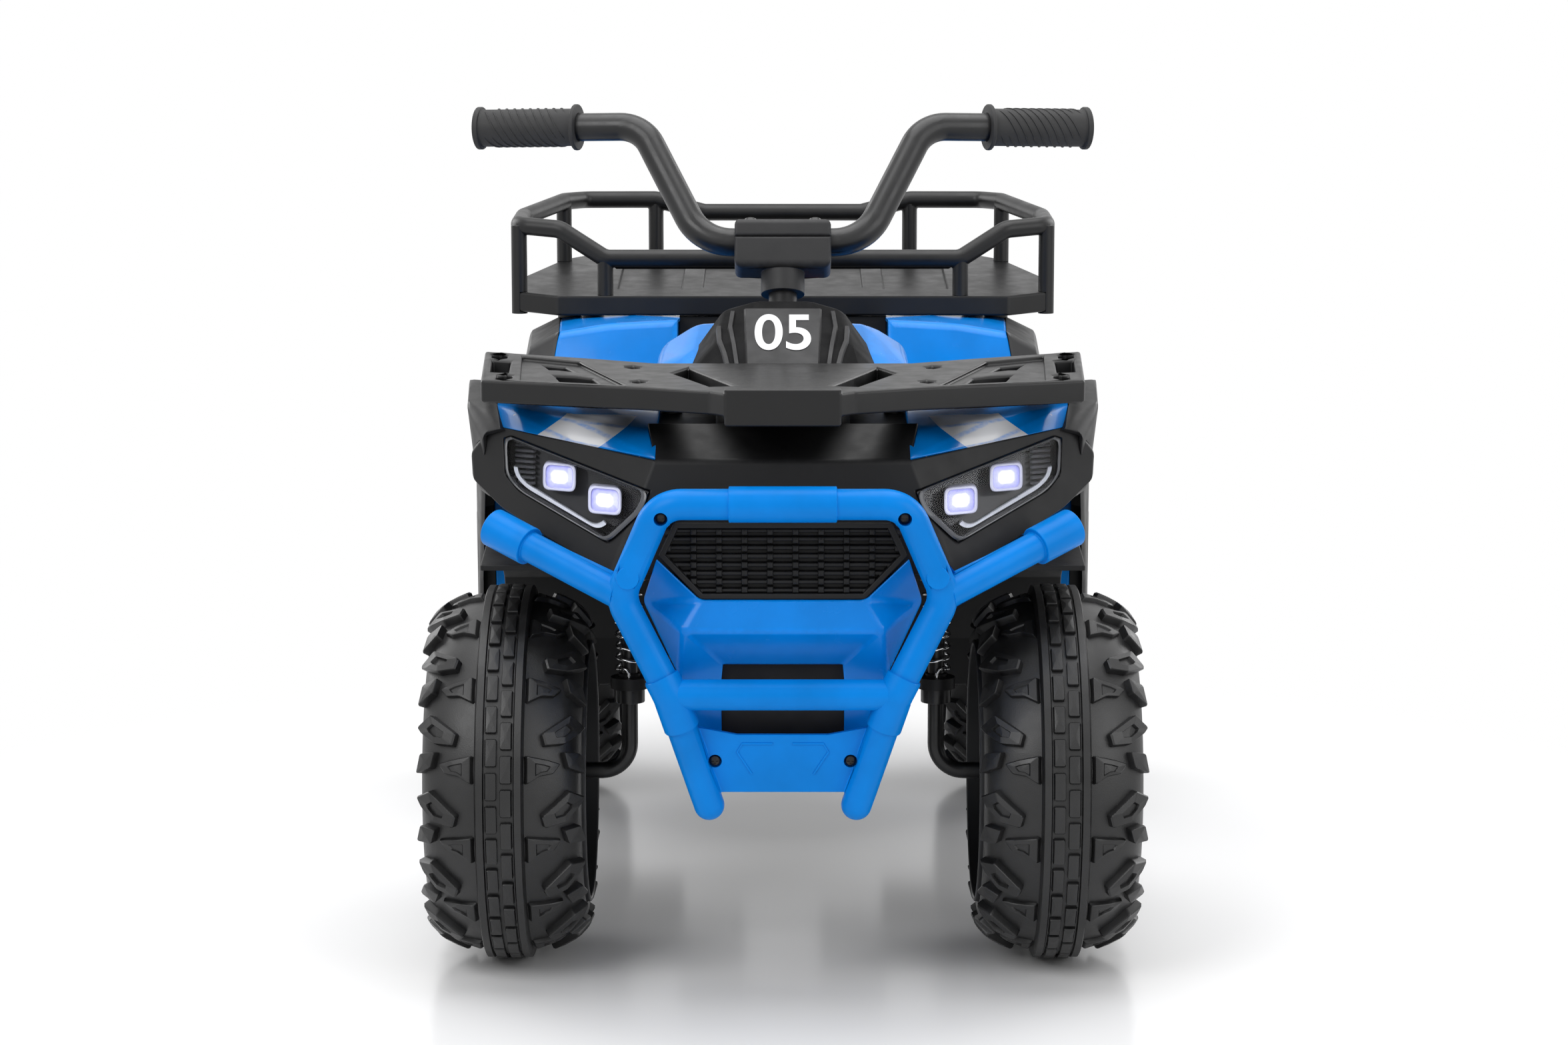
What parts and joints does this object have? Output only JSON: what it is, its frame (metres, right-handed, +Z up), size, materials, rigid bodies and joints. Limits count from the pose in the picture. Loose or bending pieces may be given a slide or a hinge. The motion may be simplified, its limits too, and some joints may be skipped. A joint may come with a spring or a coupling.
{
  "type": "ride-on quad bike",
  "caption": "Electric ride-on quad bike for a child: moulded body with racks and bumper, steering handlebar, sprung front wheels, geared rear drive and lift-off seat.",
  "frame": {"origin": "on the ground, under the middle of the bounding box", "axes": "+Z up, -Y towards the front of the bike, +X towards the rider's left"},
  "size_m": [0.6, 1.0568, 0.7198],
  "materials": {
    "blue_gloss": "gloss moulded blue plastic",
    "black_matte": "fine grained black plastic",
    "tyre_black": "satin black moulded plastic tyre",
    "wheel_grey": "satin dark grey plastic",
    "black_metal": "black powder coat",
    "zinc_steel": "zinc plated",
    "grip_rubber": "soft black grip",
    "lamp_lens": "clear moulded lens",
    "lamp_reflector": "dark metallised bucket",
    "lamp_led": "white light block",
    "seat_leather": "black leatherette over foam",
    "battery_case": "dark grey case",
    "motor_metal": "drawn steel can",
    "gear_nylon": "white nylon",
    "switch_black": "gloss black",
    "button_red": "gloss red"
  },
  "bodies": {
    "chassis": {"chassis_tub": "black_matte", "front_fascia": "black_matte", "headlight_reflectors": "lamp_reflector", "headlight_lenses": "lamp_lens", "headlight_leds": "lamp_led", "grille": "black_matte", "nose_panel": "blue_gloss", "front_bumper": "blue_gloss", "body_screws": "zinc_steel", "front_rack": "black_matte", "front_fenders": "blue_gloss", "front_flares": "black_matte", "tank_cowl": "black_matte", "tank_cover": "blue_gloss", "dash_panel": "black_matte", "rear_fenders": "blue_gloss", "rear_flares": "black_matte", "rear_rack_tray": "black_matte", "rear_rack_rail": "black_matte", "battery": "battery_case", "drive_motors": "motor_metal", "gearbox_cases": "black_matte", "rear_axle": "zinc_steel", "rear_axle_nuts": "zinc_steel", "axle_plates": "zinc_steel", "steering_bushes": "black_matte", "left_front_spring": "zinc_steel", "right_front_spring": "zinc_steel", "pedal_spring": "zinc_steel"},
    "steering": {"steering_column": "black_metal", "clamp_base": "black_matte", "clamp_cap": "black_matte", "clamp_bolts": "zinc_steel", "handlebar": "black_metal", "handlebar_grips": "grip_rubber"},
    "left_strut": {"left_spring_seat": "black_matte"},
    "left_knuckle": {"left_spindle": "black_metal", "left_axle_nut": "zinc_steel"},
    "left_tie": {"left_tie_rod": "black_metal"},
    "front_left_wheel": {"front_left_tyre": "tyre_black", "front_left_wheel_disc": "wheel_grey"},
    "rear_left_wheel": {"rear_left_tyre": "tyre_black", "rear_left_wheel_disc": "wheel_grey", "left_drive_gear": "gear_nylon"},
    "left_pinion": {"left_motor_pinion": "gear_nylon"},
    "right_strut": {"right_spring_seat": "black_matte"},
    "right_knuckle": {"right_spindle": "black_metal", "right_axle_nut": "zinc_steel"},
    "right_tie": {"right_tie_rod": "black_metal"},
    "front_right_wheel": {"front_right_tyre": "tyre_black", "front_right_wheel_disc": "wheel_grey"},
    "rear_right_wheel": {"rear_right_tyre": "tyre_black", "rear_right_wheel_disc": "wheel_grey", "right_drive_gear": "gear_nylon"},
    "right_pinion": {"right_motor_pinion": "gear_nylon"},
    "seat": {"seat_base": "black_matte", "seat_pad": "seat_leather"},
    "pedal": {"foot_pedal": "black_matte"},
    "power_button": {"power_button": "button_red"},
    "direction_rocker": {"direction_rocker": "switch_black"}
  },
  "joints": [
    {"name": "steering", "type": "hinge", "parent": "chassis", "child": "steering", "pos_m": [0, -0.11991, 0.599], "axis": [0, 0.3746, 0.9272], "range_deg": [-20, 20]},
    {"name": "left_suspension", "type": "slide", "parent": "chassis", "child": "left_strut", "axis": [0, 0, 1], "range_m": [0, 0.012], "stiffness_N_per_m": 4000, "springref_m": -0.025, "deforming": ["left_front_spring"]},
    {"name": "left_kingpin", "type": "hinge", "parent": "left_strut", "child": "left_knuckle", "pos_m": [0.131, -0.32492, 0.161], "axis": [0, 0, 1], "range_deg": [-20, 20]},
    {"name": "left_tie_pivot", "type": "hinge", "parent": "steering", "child": "left_tie", "pos_m": [0, -0.20743, 0.26226], "axis": [0, 0.3746, 0.9272], "range_deg": [-20, 20]},
    {"name": "front_left_wheel_spin", "type": "hinge", "parent": "left_knuckle", "child": "front_left_wheel", "pos_m": [0.232, -0.32492, 0.161], "axis": [1, 0, 0], "continuous": true},
    {"name": "rear_left_wheel_spin", "type": "hinge", "parent": "chassis", "child": "rear_left_wheel", "pos_m": [0.232, 0.34508, 0.161], "axis": [1, 0, 0], "continuous": true},
    {"name": "left_pinion_spin", "type": "hinge", "parent": "chassis", "child": "left_pinion", "pos_m": [0.13, 0.29308, 0.161], "axis": [1, 0, 0], "continuous": true},
    {"name": "right_suspension", "type": "slide", "parent": "chassis", "child": "right_strut", "axis": [0, 0, 1], "range_m": [0, 0.012], "stiffness_N_per_m": 4000, "springref_m": -0.025, "deforming": ["right_front_spring"]},
    {"name": "right_kingpin", "type": "hinge", "parent": "right_strut", "child": "right_knuckle", "pos_m": [-0.131, -0.32492, 0.161], "axis": [0, 0, 1], "range_deg": [-20, 20]},
    {"name": "right_tie_pivot", "type": "hinge", "parent": "steering", "child": "right_tie", "pos_m": [0, -0.20743, 0.26226], "axis": [0, 0.3746, 0.9272], "range_deg": [-20, 20]},
    {"name": "front_right_wheel_spin", "type": "hinge", "parent": "right_knuckle", "child": "front_right_wheel", "pos_m": [-0.232, -0.32492, 0.161], "axis": [1, 0, 0], "continuous": true},
    {"name": "rear_right_wheel_spin", "type": "hinge", "parent": "chassis", "child": "rear_right_wheel", "pos_m": [-0.232, 0.34508, 0.161], "axis": [1, 0, 0], "continuous": true},
    {"name": "right_pinion_spin", "type": "hinge", "parent": "chassis", "child": "right_pinion", "pos_m": [-0.13, 0.29308, 0.161], "axis": [1, 0, 0], "continuous": true},
    {"name": "seat_lift", "type": "slide", "parent": "chassis", "child": "seat", "axis": [0, 0, 1], "range_m": [0, 0.1]},
    {"name": "pedal_press", "type": "hinge", "parent": "chassis", "child": "pedal", "pos_m": [-0.18, 0.04709, 0.20403], "axis": [1, 0, 0], "range_deg": [0, 8], "stiffness_Nm_per_rad": 0.8, "springref_deg": -11.46, "deforming": ["pedal_spring"]},
    {"name": "power_button_press", "type": "slide", "parent": "chassis", "child": "power_button", "axis": [0, -0.3371, -0.9415], "range_m": [0, 0.0025], "stiffness_N_per_m": 400, "springref_m": -0.002},
    {"name": "direction_rocker_tilt", "type": "hinge", "parent": "chassis", "child": "direction_rocker", "pos_m": [-0.026, -0.07432, 0.52105], "axis": [1, 0, 0], "range_deg": [-8, 8]}
  ],
  "couplings": [
    {"joint": "left_kingpin", "follows": "steering", "ratio": 1},
    {"joint": "left_tie_pivot", "follows": "steering", "ratio": -1},
    {"joint": "left_pinion_spin", "follows": "rear_left_wheel_spin", "ratio": -3.3333},
    {"joint": "right_kingpin", "follows": "steering", "ratio": 1},
    {"joint": "right_tie_pivot", "follows": "steering", "ratio": -1},
    {"joint": "right_pinion_spin", "follows": "rear_right_wheel_spin", "ratio": -3.3333}
  ]
}
